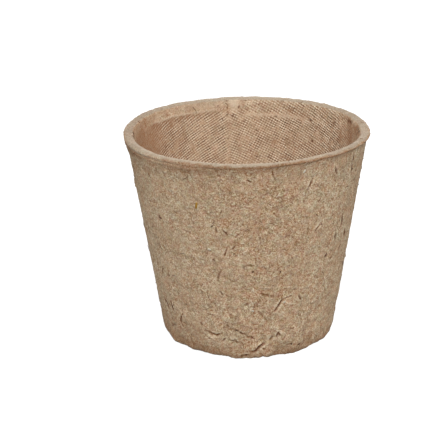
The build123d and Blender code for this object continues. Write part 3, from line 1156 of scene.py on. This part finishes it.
def fibre_strands(face, fibres, thickness, seed):
    """Fibres that lie on the finished face, with their ends felted in, and a tone for each."""
    rng = np.random.default_rng(seed)
    steps, sides = 9, 6
    share = np.linspace(0, 1, steps)
    ends = 2 * share - 1
    for zone in rng.choice(tuple(FIBRE_ZONES), fibres, p=tuple(FIBRE_ZONES.values())):
        start = face.travel_at(zone, rng.uniform(0.02, 0.98))
        radius = np.interp(start, face.section.travel, face.section.radius)
        stride = rng.uniform(0.8, 3.2) / steps
        lean = rng.uniform(0, math.tau) + rng.normal(0, 1.1) * share
        lean += 0.25 * np.sin(rng.uniform(3, 9) * share)
        travel = np.clip(start + np.cumsum(np.sin(lean)) * stride, 0, face.section.travel[-1])
        turn = rng.uniform(-math.pi, math.pi) + np.cumsum(np.cos(lean)) * stride / radius
        points, normals = face.at(travel, turn)
        half = thickness * rng.uniform(0.6, 1.3) / 2
        lift = half * (0.5 + rng.uniform(0, 0.8)) * (1 - ends**4) - half * 1.2 * ends**8
        taper = np.maximum(1 - np.abs(ends) ** 3, 0.2)
        rings = tube(points + normals * lift[:, None], normals, half * taper, half * 0.8 * taper, sides)
        yield rings, rng.random()


def fleck_strands(face, places, strays, long, wide, seed):
    """Flat bits felted into the outer face, placed in front and strewn behind, and a tone for each."""
    rng = np.random.default_rng(seed)
    steps, sides = 7, 8
    lift, half_thickness = 0.05, 0.07
    share = np.linspace(-1, 1, steps)
    strewn = zip(rng.uniform(*BACK, strays), rng.uniform(2, 48, strays))
    for azimuth, height in (*places, *strewn):
        size = rng.uniform(0.7, 1.2)
        lean = rng.uniform(0, math.pi)
        along = share * size * long / 2
        turn = math.radians(azimuth) + along * math.cos(lean) / face.section.outer(height)
        points, normals = face.at(face.travel_up(height) + along * math.sin(lean), turn)
        taper = np.sqrt(np.clip(1 - share**4, 0.05, 1)) * (1 + 0.15 * rng.normal(size=steps))
        half = size * wide / 2 * taper
        rings = tube(points + lift * normals, normals, half, np.minimum(half_thickness, half), sides)
        yield rings, rng.random()


class PEATPOT_OT_moulding(bpy.types.Operator):
    """Make the one-piece moulding over its solid"""

    bl_idname = "peatpot.moulding"
    bl_label = "Moulding"

    def execute(self, context):
        pot = context.scene.peat_pot
        relief = Relief(pot)
        values = {key: getattr(relief, key) for key in PULP_VALUES}
        mesh = grid_mesh(MOULDING, relief.points, values)
        add_piece(MOULDING, mesh, peat_pulp(pot.colours), "peat_pulp", "pot_moulding")
        return {"FINISHED"}


class PEATPOT_OT_slivers(bpy.types.Operator):
    """Make the slivers of straw and bark over their solids"""

    bl_idname = "peatpot.slivers"
    bl_label = "Slivers"

    def execute(self, context):
        pot = context.scene.peat_pot
        colours = pot.colours
        # Straw splits along its length, so it shows fine streaks and a waxy gleam.
        # Bark breaks rough, dark outside and paler where it tore.
        straw = streaked("split_straw", colours.straw, colours.straw_edge, 0.25, 0.45)
        bark = streaked("torn_bark", colours.bark, colours.bark_edge, 0.35, 0.85)
        for name, material, slot, node, places, number in (
            ("split_straw", straw, "straw", "straw_slivers", STRAW_PLACES, 80),
            ("torn_bark", bark, "bark", "bark_slivers", BARK_PLACES, 81),
        ):
            keys = (f"{slot}_length", f"{slot}_width", f"{slot}_thickness", "proud")
            sizes = [getattr(pot.slivers, key) / MM for key in keys]
            strands = sliver_strands(Section(pot.sizes), places, *sizes, pot.surface.seed + number)
            add_piece(name, strand_mesh(name, strands), material, slot, node)
        return {"FINISHED"}


class PEATPOT_OT_fibres(bpy.types.Operator):
    """Lay loose fibres on the face of the moulding"""

    bl_idname = "peatpot.fibres"
    bl_label = "Loose fibres"

    def execute(self, context):
        pot = context.scene.peat_pot
        face = Face(pot)
        surface, colours = pot.surface, pot.colours
        # Wood fibre bleaches as it dries, and peat fibre stays brown
        pale = streaked("bleached_wood_fibre", colours.grey, colours.tan, 0.6, 0.8)
        brown = streaked("dried_peat_fibre", colours.brown, colours.dark, 0.6, 0.9)
        for name, material, fibres, thickness, number in (
            ("pale_fibres", pale, surface.pale_fibres, 0.16, 82),
            ("brown_fibres", brown, surface.brown_fibres, 0.15, 83),
        ):
            strands = fibre_strands(face, fibres, thickness, surface.seed + number)
            add_piece(name, strand_mesh(name, strands), material, "peat_pulp")
        return {"FINISHED"}


class PEATPOT_OT_flecks(bpy.types.Operator):
    """Set flecks of paper and crumbs of peat in the face of the moulding"""

    bl_idname = "peatpot.flecks"
    bl_label = "Flecks"

    def execute(self, context):
        pot = context.scene.peat_pot
        face = Face(pot)
        colours = pot.colours
        # Recycled paper leaves a few bleached flecks, and peat leaves black crumbs
        paper = streaked("bleached_paper", colours.paper, colours.pale, 0.8, 0.9)
        crumb = streaked("broken_peat", colours.peat, colours.dark, 0.8, 0.95)
        for name, material, places, strays, long, wide, number in (
            ("paper_flecks", paper, PAPER_PLACES, 12, 0.7, 0.5, 84),
            ("peat_crumbs", crumb, PEAT_PLACES, 20, 0.5, 0.4, 85),
        ):
            strands = fleck_strands(face, places, strays, long, wide, pot.surface.seed + number)
            add_piece(name, strand_mesh(name, strands), material, "peat_pulp")
        return {"FINISHED"}


class PEATPOT_OT_stage(bpy.types.Operator):
    """Set up the floor, the light and the camera"""

    bl_idname = "peatpot.stage"
    bl_label = "Stage"

    def execute(self, context):
        scene = context.scene
        studio = scene.peat_pot.studio
        self.floor(scene, studio)
        self.light(scene, studio)
        self.camera(scene, studio)
        scene.view_settings.view_transform = "Standard"
        return {"FINISHED"}

    def floor(self, scene, studio):
        """A wide sheet of paper under the pot."""
        signs = ((-1, -1), (1, -1), (1, 1), (-1, 1))
        corners = [(x * FLOOR_HALF, y * FLOOR_HALF, -FLOOR_DROP) for x, y in signs]
        mesh = bpy.data.meshes.new("studio_floor")
        mesh.from_pydata(corners, [], [(0, 1, 2, 3)])
        mesh.materials.append(studio_paper(studio))
        sheet = bpy.data.objects.new("studio_floor", mesh)
        scene.collection.objects.link(sheet)
        sheet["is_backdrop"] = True

    def light(self, scene, studio):
        """Broad soft boxes in front and behind, and even light all round that the camera sees as white."""
        # Name, power in watts, width and place in metres
        for name, power, across, place in (
            ("soft_box", studio.key_power, 1.1, Vector((0.04, -1.0, 0.85))),
            ("back_soft_box", studio.back_power, 0.6, Vector((0, 1.25, 0.15))),
        ):
            lamp = bpy.data.lights.new(name, "AREA")
            lamp.shape = "DISK"
            lamp.size = across
            lamp.energy = power
            box = bpy.data.objects.new(name, lamp)
            scene.collection.objects.link(box)
            box.location = place
            box.rotation_euler = (LIGHT_AIM - place).to_track_quat("-Z", "Y").to_euler()
        scene.world = bpy.data.worlds.new("white_surround")
        node = partial(add_node, empty_tree(scene.world))
        path = node("LightPath")
        seen = path.outputs["Is Camera Ray"]
        for ray in ("Is Glossy Ray", "Is Transmission Ray"):
            seen = node("Math", {0: seen, 1: path.outputs[ray]}, operation="MAXIMUM")
        strength = node("MapRange", {0: seen, 3: studio.sky_strength, 4: 1.0})
        surround = node("Background", {"Color": (1, 1, 1, 1), "Strength": strength})
        node("OutputWorld", {"Surface": surround})

    def camera(self, scene, studio):
        """A camera that looks down on the pot from the front."""
        lens = bpy.data.cameras.new("camera")
        lens.sensor_width = SENSOR_WIDTH
        lens.lens = studio.focal_pixels * SENSOR_WIDTH / IMAGE_SIDE
        camera = bpy.data.objects.new("camera", lens)
        scene.collection.objects.link(camera)
        middle = Vector((0, 0, (CAD_BOX[0].z + CAD_BOX[1].z) / 2))
        right = Vector((1, 0, 0))
        up = Vector((0, math.sin(studio.elevation), math.cos(studio.elevation)))
        place = middle - up.cross(right) * studio.distance
        scale = studio.distance / studio.focal_pixels
        centre = IMAGE_SIDE / 2
        aim = middle - right * (studio.pot_column - centre) * scale
        aim += up * (studio.pot_row - centre) * scale
        look = (aim - place).to_track_quat("-Z", "Y").to_matrix().to_4x4()
        camera.matrix_world = Matrix.Translation(place) @ look @ Matrix.Rotation(studio.roll, 4, "Z")
        scene.camera = camera


class PEATPOT_PT_panel(bpy.types.Panel):
    """Steps and sizes of the peat pot"""

    bl_idname = "PEATPOT_PT_panel"
    bl_label = "Peat Pot"
    bl_space_type = "VIEW_3D"
    bl_region_type = "UI"
    bl_category = "Peat Pot"

    def draw(self, context):
        pot = context.scene.peat_pot
        for operator in OPERATORS:
            self.layout.operator(operator.bl_idname)
        for group in (pot.sizes, pot.surface, pot.slivers, pot.colours, pot.studio):
            box = self.layout.box()
            for key in group.__annotations__:
                box.prop(group, key)


GROUPS = (PotSizes, PulpSurface, SliverSizes, PulpColours, StudioSettings, PeatPot)
OPERATORS = (
    PEATPOT_OT_moulding,
    PEATPOT_OT_slivers,
    PEATPOT_OT_fibres,
    PEATPOT_OT_flecks,
    PEATPOT_OT_stage,
)
CLASSES = (*GROUPS, *OPERATORS, PEATPOT_PT_panel)


def register():
    for kind in CLASSES:
        bpy.utils.register_class(kind)
    bpy.types.Scene.peat_pot = PointerProperty(type=PeatPot)


def unregister():
    del bpy.types.Scene.peat_pot
    for kind in reversed(CLASSES):
        bpy.utils.unregister_class(kind)


def main():
    """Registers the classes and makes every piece."""
    register()
    bpy.ops.peatpot.moulding()
    bpy.ops.peatpot.slivers()
    bpy.ops.peatpot.fibres()
    bpy.ops.peatpot.flecks()
    bpy.ops.peatpot.stage()
    boxes = {"cad": CAD_BOX, "visual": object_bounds()}
    {key: [list(corner) for corner in box] for key, box in boxes.items()}


if __name__ == "__main__":
    main()
